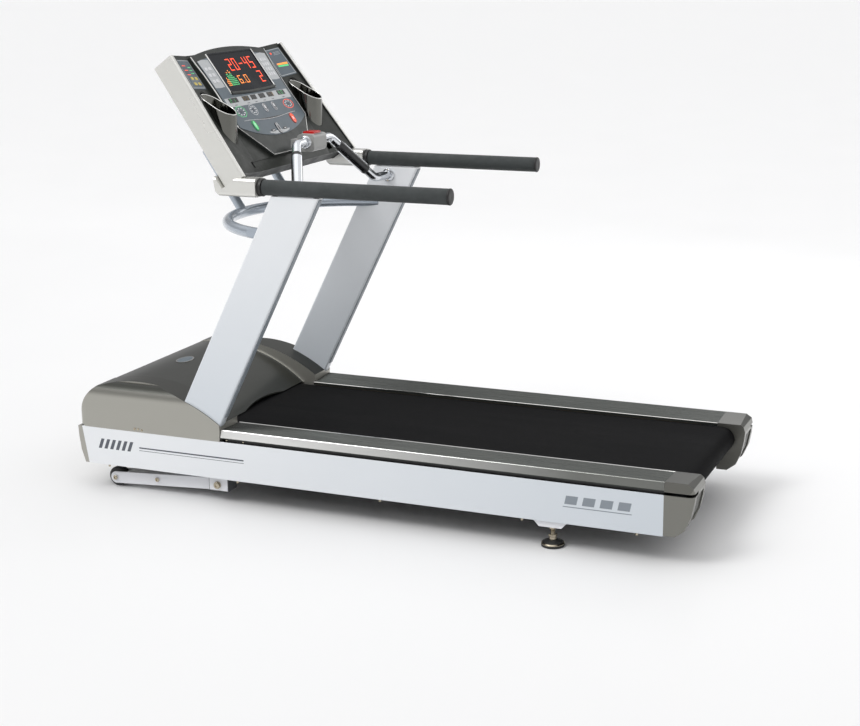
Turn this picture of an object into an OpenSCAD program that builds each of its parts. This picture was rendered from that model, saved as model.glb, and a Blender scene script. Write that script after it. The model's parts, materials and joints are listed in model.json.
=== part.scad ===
// Motorised club treadmill. Millimetres, +Z up, +X towards the user end, -Y is the user's left.

/* [Deck and base] */
// Height of the side panel's lower edge above the floor
panel_bot = 93; // [80:1:110]
// Height of the side panel's upper edge
panel_top = 226; // [200:1:260]
// Half width over the side panels
half_w = 430; // [400:1:460]
// X of the seam between side panel and rear cap
seam_x = 1025; // [900:5:1100]
// Rearmost X of the rear caps
rear_x = 1122; // [1100:1:1150]
// Height of the belt's walking surface
belt_z = 252; // [240:1:258]
// Half width of the running belt
belt_hw = 280; // [240:5:284]
// Radius of both rollers
roller_r = 39.7; // [35:0.1:42]
// X of the front roller's axis
front_roller_x = -690; // [-720:5:-680]
// X of the rear roller's axis
rear_roller_x = 1045; // [1030:1:1055]

/* [Console] */
// X of the console's top edge
con_x = -697; // [-720:1:-660]
// Height of the console's top edge
con_z = 1541; // [1500:1:1580]
// Slope of the console face from horizontal
con_tilt = 54; // [50:0.5:58]

/* [Handrails and uprights] */
// Height of the handrail axis
rail_z = 1116; // [1100:1:1130]
// Distance of each handrail axis from the middle
rail_y = 412; // [405:1:415]
// Radius of the foam sleeve
foam_r = 26; // [22:0.5:30]
// Lean of the uprights from vertical
lean = 26.52; // [20:0.1:30]

/* [Lift and feet] */
// Radius of the front wheels
wheel_r = 35; // [30:1:38]
// X of the rear levelling feet
foot_x = 654; // [600:1:700]
// Radius of a foot pad
foot_r = 38; // [30:1:42]

/* [Hidden] */
roller_z = belt_z - 2.5 - 40;
skin = 3.5;
shaft_r = 10;
run = 0.05;
motor_x = -890;
motor_z = 236;
pul_small = 26;
pul_big = 45;
pivot_x = -573;
pivot_z = 60;
wheel_x = -999;
act_y = -160;
act_x = -985;
horn_x = pivot_x + 34;
horn_z = pivot_z + 58.9;
foot_y = 390;
bar_a = [-276, 306, 1058];
bar_b = [-368, 128, 1224];
bar_end = [-256, 385, 1059];
steel = [0.32, 0.33, 0.35];
white = [0.86, 0.87, 0.89];
pewter = [0.45, 0.44, 0.40];
dark = [0.20, 0.21, 0.20];
black = [0.05, 0.05, 0.05];

// ---------- helpers ----------
module box(a, b) translate(a) cube(b - a);

module ext_y(y0, y1) translate([0, y1, 0]) rotate([90, 0, 0]) linear_extrude(y1 - y0) children();

module ext_x(x0, x1) translate([x0, 0, 0]) rotate([90, 0, 90]) linear_extrude(x1 - x0) children();

module cyl_y(x, z, y0, y1, r) translate([x, y0, z]) rotate([-90, 0, 0]) cylinder(h = y1 - y0, r = r, $fn = 64);

module cyl_x(x0, x1, y, z, r) translate([x0, y, z]) rotate([0, 90, 0]) cylinder(h = x1 - x0, r = r, $fn = 64);

module both() for (m = [0, 1]) mirror([0, m, 0]) children();

module rod(p, q, r) {
    d = q - p;
    len = norm(d);
    translate(p) rotate([0, acos(d[2] / len), atan2(d[1], d[0])]) cylinder(h = len, r = r, $fn = 48);
}

module disc(x, z, r) translate([x, z]) circle(r, $fn = 128);

module rr(w, h, r) {
    square([w - 2 * r, h], center = true);
    square([w, h - 2 * r], center = true);
    for (i = [-1, 1], j = [-1, 1]) translate([i * (w / 2 - r), j * (h / 2 - r)]) circle(r, $fn = 48);
}

function arc(c, r, a0, a1, n) = [for (i = [0:n]) c + r * [cos(a0 + (a1 - a0) * i / n), sin(a0 + (a1 - a0) * i / n)]];

// Taut loop round two pulleys
module loop2d(p, q, a, b) {
    d = q - p;
    phi = atan2(d[1], d[0]);
    beta = acos((a - b) / norm(d));
    polygon(concat(arc(p, a, phi + beta, phi - beta + 360, 36), arc(q, b, phi - beta, phi + beta, 36)));
}

// Console frame: x runs down the slope, z points at the user
module con() translate([con_x, 0, con_z]) rotate([0, con_tilt, 0]) children();

// ---------- base ----------
module rail_bar() difference() {
    box([-1080, 305, 110], [1010, 350, 170]);
    box([-1081, 308, 113], [1011, 347, 167]);
}

module outrigger(x) {
    box([x - 4, 349, 115], [x + 4, 426.4, 215]);
    box([x - 4, 398, 214], [x + 4, 414, 227]);
    box([x - 15, 349, 120], [x + 15, 372, 257]);
}

module roller_plate(x0, x1, x) difference() {
    box([x0, 305, 110], [x1, 311, 240]);
    cyl_y(x, roller_z, 300, 320, shaft_r + run);
}

module lift_bracket() difference() {
    union() {
        box([-608, 396, 38], [-532, 402, 112]);
        box([-608, 340, 106], [-532, 402, 112]);
        box([-538, 344, 38], [-532, 402, 112]);
    }
    cyl_y(pivot_x, pivot_z, 390, 410, 8 + run);
}

module base_frame() color(steel) {
    both() {
        rail_bar();
        for (x = [-500, -120, 260, 880]) outrigger(x);
        box([-520, 398, 226], [1020, 414, 238.8]);
        roller_plate(-730, -650, front_roller_x);
        roller_plate(980, 1068, rear_roller_x);
        lift_bracket();
        box([-800, 349, 120], [-620, 379, 160]);
        box([-790, 378, 122], [-640, 385.4, 222]);
        box([foot_x - 60, 345, 112], [foot_x + 60, 420, 118]);
    }
    for (x = [-1075, -470, 250, 940]) box([x, -306, 112], [x + 40, 306, 160]);
    box([-795, -306, 144], [-765, 306, 162]);
    box([-1070, 0, 154], [-795, 306, 160]);
    for (y = [act_y - 52, act_y + 46]) difference() {
        box([-1040, y, 104], [-965, y + 6, 134]);
        cyl_y(act_x, horn_z, y - 1, y + 7, 6 + run);
    }
}

module side_panel() ext_y(half_w - skin, half_w)
    polygon([[-1105, panel_top], [seam_x, panel_top], [seam_x, panel_bot], [-1083, panel_bot]]);
module left_side_panel() color(white) mirror([0, 1, 0]) side_panel();
module right_side_panel() color(white) side_panel();

module rail_outer() polygon([[288, 250.5], [288, 262], [419, 268], [428.5, 239], [400, 239], [400, 242],
    [424, 242], [416, 264], [292, 258.2], [292, 250.5]]);

module foot_rail() ext_x(-540, seam_x - 0.5) rail_outer();
module left_foot_rail() color(dark) mirror([0, 1, 0]) foot_rail();
module right_foot_rail() color(dark) foot_rail();

module cap_side(d) polygon([[seam_x, 95 + d], [1062 - d, 95 + d], [1092 - d, 118 + d], [1110 - d, 160],
    [1119 - d, 205], [rear_x - d, 236], [1116 - d, 254 - d], [1098 - d, 268 - d], [seam_x, 268 - d]]);

module cap_front(d) polygon([[288 + d, 95], [288 + d, 262 - d], [419, 268 - d], [428.5 - d, 239], [430 - d, 226],
    [430 - d, 95]]);

module cap_plan(d) union() {
    box([seam_x, 288 + d, 90], [rear_x + 1, 408, 270]);
    box([seam_x, 288 + d, 90], [rear_x - 22, 430 - d, 270]);
    translate([rear_x - 22, 408, 90]) cylinder(h = 180, r = 22 - d, $fn = 96);
}

module cap_solid(d) intersection() {
    ext_y(280, 440) cap_side(d);
    ext_x(seam_x - (d > 0 ? 1 : 0), rear_x + 2) cap_front(d);
    cap_plan(d);
}

module rear_cap() difference() {
    cap_solid(0);
    cap_solid(4);
    box([seam_x - 1, 380, 228], [rear_x + 5, 440, 238]);
    cyl_y(rear_roller_x, roller_z, 280, 300, 14);
    box([1085, 306, 100], [1130, 396, 224]);
}
module left_rear_cap() color(pewter) mirror([0, 1, 0]) rear_cap();
module right_rear_cap() color(pewter) rear_cap();

module cap_inserts() color(dark) both() difference() {
    intersection() {
        ext_y(306.4, 395.6) difference() {
            cap_side(5);
            cap_side(9);
        }
        box([1086, 306.4, 101], [1130, 395.6, 223.5]);
    }
    rod([1080, 350, 130], [1120, 350, 118], 4.2);
}

// ---------- motor hood ----------
module hood_mid(d) intersection() {
    disc(-947.1, -159.5, 543.2 - d);
    disc(-943.2, 230.5, 177.8 - d);
    translate([-1130, 232]) square([600, 200]);
}

module hood_rear_mid(d) intersection() {
    disc(-947.1, -159.5, 543.2 - d);
    translate([-944, 254.5]) square([420, 200]);
}

module shoulder(d) intersection() {
    disc(-891.6, -209.9, 607.3 - d);
    union() {
        disc(-943.2, 230.5, 177.8 - d);
        translate([-944, 227]) square([402 - d, 200]);
    }
    translate([-1130, 227.5]) square([600, 200]);
}

module motor_hood() color(dark) difference() {
    union() {
        ext_y(-297, 297) hood_mid(0);
        ext_y(-297, 297) hood_rear_mid(0);
    }
    ext_y(-298, 298) hood_mid(4);
    ext_y(-298, 298) hood_rear_mid(4);
    ext_y(-298, 298) translate([-1112, 230]) square([560, 26]);
    translate([-612 + 750, 0, 200]) cylinder(h = 300, r = 750, $fn = 256);
}

module cover_section(d) intersection() {
    translate([303 + d, 226]) square([127 - 2 * d, 200]);
    union() {
        translate([303, 226]) square([127 - d - 46, 200]);
        translate([303, 226]) square([127 - d, 119]);
        translate([430 - 46, 345]) circle(46 - d, $fn = 96);
    }
}

module cover_plan(d) union() {
    box([-1084, 303, 200], [-500, 430, 440]);
    box([-1130, 303, 200], [-1084, 392, 440]);
    translate([-1084, 392, 200]) cylinder(h = 240, r = 38 - d, $fn = 128);
}

module cover_solid(d) intersection() {
    ext_y(303 + d, 430) shoulder(d);
    ext_x(-1130, -500) cover_section(d);
    cover_plan(d);
}

module lean_bar(grow, z0, z1) intersection() {
    translate([-657.5, 405.75, 226]) rotate([0, lean, 0]) translate([0, 0, -220]) linear_extrude(1300)
        rr(156.6 + 2 * grow, 40.5 + 2 * grow, 6 + grow);
    box([-1000, 360, z0], [100, 440, z1]);
}

module hood_cover() difference() {
    cover_solid(0);
    cover_solid(4);
    ext_y(302, 308) intersection() {
        shoulder(4);
        disc(-947.1, -159.5, 533);
    }
    box([-1117, 302, 220], [-546, 426, 232]);
    lean_bar(1.5, 200, 450);
}
module left_hood_cover() color(pewter) mirror([0, 1, 0]) hood_cover();
module right_hood_cover() color(pewter) hood_cover();

module hood_trims() color([0.75, 0.74, 0.70]) both() ext_y(297.4, 302.6) difference() {
    intersection() {
        disc(-947.1, -159.5, 546);
        translate([-1042, 254.5]) square([490, 200]);
    }
    disc(-947.1, -159.5, 537);
}

module belly_pan() color(pewter) difference() {
    union() {
        ext_y(-half_w + 0.2, half_w - 0.2) polygon([[-1122, 227], [-1120, 190], [-1113, 140], [-1098, 93], [-1083.6, 93],
            [-1105.6, 227]]);
        box([-1092, -299, 93], [-640, 299, 96]);
        both() box([-1080, 296, 93], [-640, 299, 112]);
    }
    box([-1130, -205, 121], [-1060, -155, 169]);
    box([-1130, -145, 127.5], [-1060, -120, 162.5]);
    translate([-1130, -95, 145]) rotate([0, 90, 0]) cylinder(h = 70, r = 8, $fn = 48);
    for (i = [0:9]) box([-1040 + i * 24, 60, 90], [-1030 + i * 24, 220, 100]);
}

// ---------- deck, belt and drive ----------
module deck_board() color([0.55, 0.42, 0.28]) box([-535, -345, belt_z - 27.8], [955, 345, belt_z - 2.8]);

module deck_cushions() color(black) both() for (x = [-500, -330, 0, 330, 640, 930])
    translate([x, 327.5, 170]) cylinder(h = belt_z - 27.8 - 170, r = 17, $fn = 48);

module belt_body(r, w) {
    box([front_roller_x, -w, roller_z - r], [rear_roller_x, w, roller_z + r]);
    for (x = [front_roller_x, rear_roller_x]) cyl_y(x, roller_z, -w, w, r);
}

module running_belt() color(black) difference() {
    belt_body(42.5, belt_hw);
    belt_body(40, belt_hw + 1);
}

module roller(x) difference() {
    cyl_y(x, roller_z, -283, 283, roller_r);
    cyl_y(x, roller_z, -271, 271, roller_r - 4);
    cyl_y(x, roller_z, -290, 290, shaft_r + run);
}

module front_roller() color([0.6, 0.6, 0.62]) {
    roller(front_roller_x);
    difference() {
        union() {
            cyl_y(front_roller_x, roller_z, 283, 287, 22);
            cyl_y(front_roller_x, roller_z, 287, 302, pul_big - 0.3);
        }
        cyl_y(front_roller_x, roller_z, 280, 305, shaft_r + run);
    }
}
module rear_roller() color([0.6, 0.6, 0.62]) roller(rear_roller_x);

module roller_shafts() color([0.5, 0.5, 0.52]) for (x = [front_roller_x, rear_roller_x])
    cyl_y(x, roller_z, -318, 318, shaft_r);

module drive_motor() color(dark) difference() {
    union() {
        cyl_y(motor_x, motor_z, 24, 238, 72);
        box([motor_x - 50, 40, 160], [motor_x + 50, 220, 180]);
    }
    cyl_y(motor_x, motor_z, 34, 228, 62);
    cyl_y(motor_x, motor_z, 20, 240, 9 + run);
    for (i = [0:6]) for (a = [0:30:150])
        translate([motor_x, 56 + i * 22, motor_z]) rotate([0, a - 165, 0]) translate([68, 0, -5]) cube([10, 8, 10]);
}

module motor_shaft() color([0.6, 0.6, 0.62]) {
    cyl_y(motor_x, motor_z, 10, 305, 9);
    cyl_y(motor_x, motor_z, 48, 214, 56);
    cyl_y(motor_x, motor_z, 246, 272, 66);
    cyl_y(motor_x, motor_z, 286, 303, pul_small - 0.3);
}

module drive_belt() color(black) difference() {
    ext_y(289, 300) loop2d([motor_x, motor_z], [front_roller_x, roller_z], pul_small + 3, pul_big + 3);
    ext_y(288, 301) loop2d([motor_x, motor_z], [front_roller_x, roller_z], pul_small, pul_big);
}

module motor_controller() color([0.35, 0.37, 0.38]) {
    box([-1062, 20, 160], [-985, 240, 196]);
    for (i = [0:10]) box([-1060 + i * 7, 24, 195], [-1057 + i * 7, 236, 214]);
}

module power_inlet() color(black) difference() {
    box([-1121, -204.7, 121.3], [-1078, -155.3, 168.7]);
    box([-1122, -194, 131], [-1092, -166, 159]);
}

module power_switch() color([0.7, 0.08, 0.06]) intersection() {
    cyl_y(-1100, 145, -144, -121, 19);
    box([-1125, -144, 131], [-1096, -121, 159]);
}

module breaker_button() color([0.8, 0.8, 0.8])
    translate([-1121, -95, 145]) rotate([0, 90, 0]) cylinder(h = 22, r = 6.5, $fn = 48);

// ---------- uprights and handrails ----------
module upright() difference() {
    union() {
        lean_bar(0, 122, 1089);
        box([-290, 404, 1080], [-160, 420, rail_z - 17.2]);
    }
    lean_bar(-3, 130, 1080);
}
module left_upright() color(white) mirror([0, 1, 0]) upright();
module right_upright() color(white) upright();

module upright_trims() color([0.42, 0.46, 0.49]) both() intersection() {
    translate([-657.5, 405.75, 226]) rotate([0, lean, 0]) translate([78.35, -11, -200])
        cube([3, 22, 1300]);
    box([-1000, 360, 312], [100, 440, 1082]);
}

module handrail_tubes() color(steel) both() difference() {
    cyl_x(-448, 310, rail_y, rail_z, 17);
    cyl_x(-444, 311, rail_y, rail_z, 14);
}

module foam_grips() color([0.28, 0.31, 0.32]) both() difference() {
    cyl_x(-343, 312, rail_y, rail_z, foam_r);
    cyl_x(-344, 313, rail_y, rail_z, 17.05);
    box([-292, 403, 1085], [-158, 421, rail_z - 10]);
}

module handrail_trim() color(black) both() {
    difference() {
        cyl_x(-359, -343.3, rail_y, rail_z, 30);
        cyl_x(-360, -343, rail_y, rail_z, 17.05);
    }
    cyl_x(312.2, 320, rail_y, rail_z, 26.5);
    cyl_x(296, 313, rail_y, rail_z, 13.95);
}

// ---------- console ----------
module side_strip() con() translate([8, 385.7, -36]) rotate([0, 0, 4.78]) rotate([90, 0, 90])
    linear_extrude(478) translate([-2, 0]) rr(20, 84, 7);

module console_side() difference() {
    union() {
        side_strip();
        intersection() {
            ext_x(-520, -345) translate([413, rail_z]) rr(66, 64, 15);
            ext_y(370, 450) polygon([[-518, 1157], [-509, 1100], [-497, 1086], [-359.5, 1084], [-359.5, 1146],
                [-432, 1146], [-483, 1109]]);
        }
    }
    cyl_x(-449, -340, rail_y, rail_z, 17.05);
}
module console_sides() color([0.80, 0.79, 0.75]) both() console_side();

module cup_plan(r) union() {
    translate([-541, 318]) circle(r, $fn = 96);
    intersection() {
        translate([-580, 318]) circle(r - 6, $fn = 96);
        translate([-700, 250]) square([150, 140]);
    }
    translate([-580, 318 - r + 6]) square([39, 2 * r - 12]);
}

module con_plan(s0, s1, w) polygon([[s0, -w], [s0, w], [s1, w + (s1 - s0) * 0.0837],
    [s1, -w - (s1 - s0) * 0.0837]]);

module wing_plate() translate([22, 272, -18.5]) rotate([8.2, 0, 0]) linear_extrude(1.15)
    polygon([[0, 0], [0, 90], [118, 99.9], [118, 0]]);

// Cross section of the dished face, d below its surface
module dish(d) polygon([[-420, -26 - d], [420, -26 - d], [420, 2.8 - d], [262, -20 - d], [-262, -20 - d],
    [-420, 2.8 - d]]);

module console_slab() color(dark) difference() {
    con() intersection() {
        difference() {
            ext_x(4, 474) dish(0);
            ext_x(8, 470) dish(4);
        }
        translate([0, 0, -30]) linear_extrude(60) con_plan(4, 474, 372.3);
    }
    both() translate([0, 0, 1200]) linear_extrude(300) cup_plan(46.6);
    con() box([434, -300, -22], [458, 300, -15]);
}

module console_back() color([0.16, 0.17, 0.17]) con() {
    difference() {
        translate([0, 0, -78]) linear_extrude(51.7) con_plan(6, 473, 371);
        translate([0, 0, -75]) linear_extrude(60) con_plan(9, 470, 368);
        translate([250, 0, -80]) linear_extrude(20) rr(294, 554, 20);
    }
    difference() {
        translate([250, 0, -140]) linear_extrude(65) rr(300, 560, 23);
        translate([250, 0, -137]) linear_extrude(70) rr(294, 554, 20);
    }
}

module pod2d() intersection() {
    translate([-8 + 1375, 0]) circle(1375, $fn = 360);
    polygon([[-20, -261], [-20, 261], [17, 261], [90, 250], [170, 246], [308, 250], [431, 135], [431, -135],
        [308, -250], [170, -246], [90, -250], [17, -261]]);
}

module overlay2d() intersection() {
    translate([18 + 1375, 0]) circle(1375, $fn = 360);
    translate([362 - 560, 0]) circle(560, $fn = 360);
    polygon([[20, -241], [20, 241], [90, 236], [170, 233], [308, 240], [380, 240], [380, -240], [308, -240],
        [170, -233], [90, -236]]);
}

module key2d(s, y, w, h, g) translate([s, y]) rr(h + 2 * g, w + 2 * g, w / 2 + g - 0.01);

module key_holes(g) {
    key2d(312, -139, 28, 44, g);
    key2d(312, 139, 28, 44, g);
    key2d(252, 0, 20, 34, g);
    key2d(252, 66, 20, 34, g);
    key2d(338, 0, 22, 44, g);
}

module console_pod() color(dark) con() difference() {
    translate([0, 0, -19.9]) linear_extrude(11.9) pod2d();
    translate([0, 0, -15]) linear_extrude(10) key_holes(0.5);
    translate([0, 0, -11]) linear_extrude(10) translate([96, 0]) rr(164.6, 310.6, 8);
}

module console_overlay() color([0.42, 0.46, 0.50]) con() translate([0, 0, -8]) linear_extrude(1.5)
    difference() {
        overlay2d();
        translate([96, 0]) rr(164.6, 310.6, 8);
        key_holes(0.5);
    }

module display_window() color([0.07, 0.08, 0.10]) con() difference() {
    translate([0, 0, -11]) linear_extrude(7) translate([96, 0]) rr(164, 310, 8);
    translate([0, 0, -5.5]) linear_extrude(5) translate([93, 0]) rr(146, 298, 4);
}

module keycap(s, y, w, h) con() translate([0, 0, -12]) linear_extrude(7.5) key2d(s, y, w, h, 0);
module start_key() color([0.2, 0.7, 0.35]) keycap(312, -139, 28, 44);
module stop_key() color([0.85, 0.25, 0.15]) keycap(312, 139, 28, 44);
module quick_key_a() color([0.8, 0.8, 0.82]) keycap(252, 0, 20, 34);
module quick_key_b() color([0.8, 0.8, 0.82]) keycap(252, 66, 20, 34);
module nav_key() color([0.15, 0.15, 0.17]) keycap(338, 0, 22, 44);

module cup_half() intersection() {
    difference() {
        translate([0, 0, 1150]) linear_extrude(300) cup_plan(46);
        intersection() {
            translate([0, 0, 1296]) linear_extrude(200) cup_plan(43);
            con() box([-100, 200, -59], [700, 450, 300]);
        }
        translate([0, 0, 1149]) linear_extrude(144) cup_plan(43);
    }
    con() box([-100, 200, -62], [700, 450, 300]);
    ext_y(200, 450) polygon([[-700, 1100], [-700, 1446], [-480, 1330], [-480, 1100]]);
}
module cup_holders() color([0.38, 0.38, 0.36]) both() cup_half();

module wing_panels() color([0.42, 0.46, 0.50]) con() both() wing_plate();

module control_board() color([0.05, 0.3, 0.15]) con() {
    box([115, -170, -100], [385, 170, -98]);
    for (s = [130, 370], y = [-155, 155]) translate([s, y, -137]) cylinder(h = 38, r = 4, $fn = 32);
    for (y = [-120, -60, 40, 100]) box([180, y, -98.1], [220, y + 36, -88]);
}

// ---------- hand bar ----------
module bar_path(r) {
    both() {
        rod(bar_end, bar_a, r);
        translate(bar_a) sphere(r + 0.4, $fn = 48);
        rod(bar_a, bar_b, r);
        translate(bar_b) sphere(r + 0.4, $fn = 48);
    }
    cyl_y(bar_b[0], bar_b[2], -bar_b[1], bar_b[1], r);
}

module pulse_bar() color([0.85, 0.86, 0.88]) difference() {
    intersection() {
        union() {
            bar_path(16);
            both() cyl_y(bar_end[0], bar_end[2], 379, 385.2, 24);
        }
        box([-500, -385.3, 900], [0, 385.3, 1300]);
    }
    bar_path(13.5);
}

module pulse_grips() color(black) both() difference() {
    rod(bar_a + (bar_b - bar_a) * 0.2, bar_a + (bar_b - bar_a) * 0.82, 19.5);
    rod(bar_a, bar_b, 16.02);
}

module stop_housing() color([0.42, 0.42, 0.41]) difference() {
    union() {
        ext_y(-48, 48) translate([-373, 1220]) rr(66, 60, 14);
        cyl_y(bar_b[0], bar_b[2], -58, 58, 22);
        box([-444, -24, 1198], [-400, 24, 1228]);
    }
    cyl_y(bar_b[0], bar_b[2], -60, 60, 16.02);
    translate([-373, 0, 1243]) linear_extrude(20) rr(45, 55, 4);
}

module stop_button() color([0.8, 0.05, 0.05]) translate([-373, 0, 1248]) linear_extrude(9) rr(44, 54, 4);

module brace_frame() color([0.55, 0.60, 0.64]) difference() {
    union() {
        intersection() {
            translate([-255, 0, 955]) rotate_extrude($fn = 128)
                translate([404.7, 0]) circle(19.5, $fn = 64);
            box([-700, -385.2, 900], [-300, 385.2, 1000]);
        }
        for (y = [0, 240]) stay(y, 17);
    }
    con() box([0, -300, -140.05], [500, 300, 0]);
}

module stay(y, r) {
    foot = [-255 - sqrt(404.7 * 404.7 - y * y), y, 960];
    top = foot + [-136, 0, 209];
    rod(foot, top, r);
    translate(top) sphere(r + 0.4, $fn = 48);
    rod(top, top + [150, 0, 109], r);
}

// ---------- feet, lift and fasteners ----------
module foot_brackets() color(white) both() difference() {
    ext_y(352, 421) polygon([[foot_x - 58, 111.8], [foot_x + 58, 111.8], [foot_x + 58, 93], [foot_x + 38, 71],
        [foot_x - 38, 71], [foot_x - 58, 93]]);
    translate([foot_x, foot_y, 60]) cylinder(h = 60, r = 8 + run, $fn = 64);
}

module foot() translate([foot_x, foot_y, 0]) {
    cylinder(h = 5, r = foot_r, $fn = 96);
    translate([0, 0, 5]) cylinder(h = 16, r1 = foot_r - 2, r2 = 15, $fn = 96);
    translate([0, 0, 21]) cylinder(h = 10, r = 12, $fn = 48);
    translate([0, 0, 31]) cylinder(h = 8, r = 13, $fn = 6);
    translate([0, 0, 39]) cylinder(h = 68, r = 8, $fn = 64);
}
module left_foot() color(black) mirror([0, 1, 0]) foot();
module right_foot() color(black) foot();

module screws() color([0.62, 0.58, 0.5]) {
    both() {
        cyl_y(pivot_x, pivot_z, 346, 404, 8);
        cyl_y(pivot_x, pivot_z, 402.05, 409, 13);
        translate([foot_x, foot_y, 59]) difference() {
            cylinder(h = 11.8, r = 14, $fn = 6);
            translate([0, 0, -1]) cylinder(h = 14, r = 8 + run, $fn = 64);
        }
        for (x = [-1000, -480, 60, 560, 940]) translate([x, 427, 86]) cylinder(h = 6.8, r = 5, $fn = 4);
        for (x = [-500, -420, 120, 960]) cyl_y(x, 232.5, 414.05, 417, 3.5);
    }
    cyl_y(act_x, horn_z, act_y - 54, act_y + 54, 6);
    both() for (z = [-20, 20]) cyl_y(-256, 1059 + z, 376.5, 378.9, 3.2);
    both() cyl_y(-870, 238, 430.05, 432, 4);
}

module arm() difference() {
    ext_y(342, 392) loop2d([wheel_x, 35], [pivot_x, pivot_z], 21, 21);
    box([-1050, 348, -20], [-955, 386, 90]);
    cyl_y(pivot_x, pivot_z, 345, 400, 8 + run);
}

module lift_frame() color(white) {
    both() {
        arm();
        cyl_y(wheel_x, 35, 343, 394, 6);
        cyl_y(wheel_x, 35, 391, 396, 10);
        cyl_y(-824, 47, 391, 395.5, 8);
    }
    cyl_y(pivot_x, pivot_z, -343, 343, 16);
    for (y = [act_y - 21, act_y + 15]) ext_y(y, y + 6) loop2d([pivot_x, pivot_z], [horn_x, horn_z], 13, 13);
    cyl_y(horn_x, horn_z, act_y - 16, act_y + 16, 6);
}

module wheel() difference() {
    union() {
        cyl_y(wheel_x, 35, 350, 384, wheel_r - 2);
        cyl_y(wheel_x, 35, 354, 380, wheel_r);
    }
    cyl_y(wheel_x, 35, 345, 390, 6 + run);
}
module left_wheel() color(black) mirror([0, 1, 0]) wheel();
module right_wheel() color(black) wheel();

module lift_motor() color([0.3, 0.3, 0.32]) difference() {
    union() {
        box([-1010, act_y - 43, 102], [-905, act_y + 43, 168]);
        cyl_x(-1012, -880, act_y, 201, 36);
        cyl_x(-906, -740, act_y, horn_z, 17);
    }
    cyl_y(act_x, horn_z, act_y - 50, act_y + 50, 6 + run);
    difference() {
        cyl_x(-935, -739, act_y, horn_z, 13.06);
        cyl_x(-936, -640, act_y, horn_z, 6);
    }
}

module lift_tube() color([0.7, 0.7, 0.72]) difference() {
    union() {
        cyl_x(-890, -552, act_y, horn_z, 13);
        cyl_y(horn_x, horn_z, act_y - 12, act_y + 12, 17);
    }
    cyl_x(-891, -580, act_y, horn_z, 7.5);
    cyl_y(horn_x, horn_z, act_y - 20, act_y + 20, 9.2);
}

base_frame();
left_side_panel();
right_side_panel();
left_foot_rail();
right_foot_rail();
left_rear_cap();
right_rear_cap();
cap_inserts();
motor_hood();
left_hood_cover();
right_hood_cover();
hood_trims();
belly_pan();
deck_board();
deck_cushions();
running_belt();
drive_motor();
motor_shaft();
motor_controller();
power_inlet();
power_switch();
breaker_button();
drive_belt();
front_roller();
rear_roller();
roller_shafts();
left_upright();
right_upright();
upright_trims();
handrail_tubes();
foam_grips();
handrail_trim();
console_sides();
console_slab();
console_back();
console_pod();
console_overlay();
display_window();
cup_holders();
wing_panels();
control_board();
pulse_bar();
pulse_grips();
stop_housing();
stop_button();
brace_frame();
foot_brackets();
left_foot();
right_foot();
screws();
lift_frame();
left_wheel();
right_wheel();
lift_motor();
lift_tube();
start_key();
stop_key();
quick_key_a();
quick_key_b();
nav_key();
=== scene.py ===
import json
import math
import bpy
import bmesh
from mathutils import Matrix, Vector


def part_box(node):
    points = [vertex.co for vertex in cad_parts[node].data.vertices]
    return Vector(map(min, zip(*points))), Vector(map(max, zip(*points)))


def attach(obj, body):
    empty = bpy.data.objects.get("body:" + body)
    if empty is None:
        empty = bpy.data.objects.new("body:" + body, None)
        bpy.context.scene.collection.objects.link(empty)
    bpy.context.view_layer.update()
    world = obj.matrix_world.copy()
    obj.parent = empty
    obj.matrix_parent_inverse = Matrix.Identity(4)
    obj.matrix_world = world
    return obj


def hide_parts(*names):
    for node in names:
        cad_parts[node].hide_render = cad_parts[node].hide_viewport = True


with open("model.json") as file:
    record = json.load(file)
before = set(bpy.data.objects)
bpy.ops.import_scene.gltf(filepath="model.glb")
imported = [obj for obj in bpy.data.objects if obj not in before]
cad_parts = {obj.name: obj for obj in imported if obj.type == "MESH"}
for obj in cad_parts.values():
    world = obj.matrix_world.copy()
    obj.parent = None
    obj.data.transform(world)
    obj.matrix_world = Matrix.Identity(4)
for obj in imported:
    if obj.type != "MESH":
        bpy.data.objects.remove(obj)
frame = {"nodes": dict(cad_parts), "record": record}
for old in list(bpy.data.materials):
    old.name = "packed_" + old.name
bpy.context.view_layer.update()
NODES = frame["nodes"]

# ---------------------------------------------------------------- materials


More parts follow.
